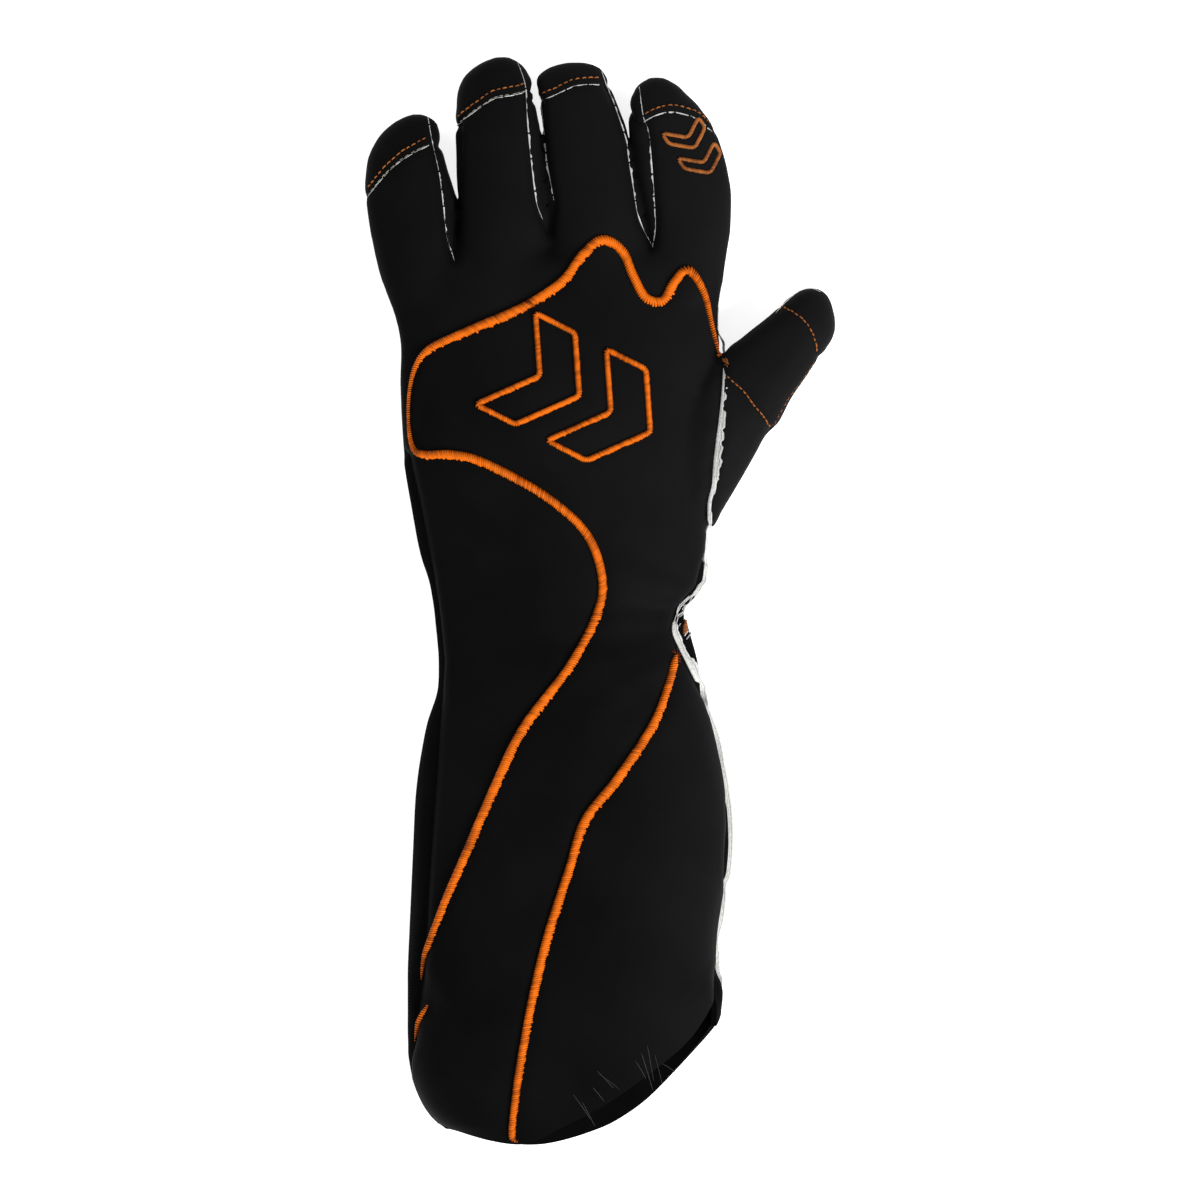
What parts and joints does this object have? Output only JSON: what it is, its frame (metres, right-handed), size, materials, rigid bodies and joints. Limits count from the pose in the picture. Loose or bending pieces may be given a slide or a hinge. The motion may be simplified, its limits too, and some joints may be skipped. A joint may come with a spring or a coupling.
{
  "type": "karting glove",
  "caption": "Left-hand karting glove with a long flared gauntlet, padded cloth shell hollow to every fingertip, raised orange cords and a raw white seam edge",
  "frame": {"origin": "middle of the glove's outline, on the surface that it lies on", "axes": "+Y runs from the hem to the fingertips, +X points to the thumb's side, +Z runs from the palm up to the back of the hand"},
  "size_m": [0.1594, 0.3706, 0.0476],
  "materials": {
    "shell_cloth": "smooth matt woven cloth, black",
    "palm_cloth": "matt grippy cloth, black",
    "raw_edge": "raw fibrous edge, white",
    "orange_thread": "satin stitched thread, bright orange"
  },
  "bodies": {
    "root": {"back_panel": "shell_cloth", "palm_panel": "palm_cloth", "side_strip_little_ring": "shell_cloth", "side_strip_ring_middle": "shell_cloth", "side_strip_middle_index": "shell_cloth", "fingertip_little": "shell_cloth", "fingertip_ring": "shell_cloth", "fingertip_middle": "shell_cloth", "fingertip_index": "shell_cloth", "fingertip_thumb": "shell_cloth", "thumb_sleeve": "shell_cloth", "thumb_gusset": "shell_cloth", "thumb_underside": "palm_cloth", "white_seam_edge": "raw_edge", "contour_cord": "orange_thread", "gauntlet_cord": "orange_thread", "hem_cord": "orange_thread", "emblem_chevron_1": "orange_thread", "emblem_chevron_2": "orange_thread"}
  },
  "joints": []
}
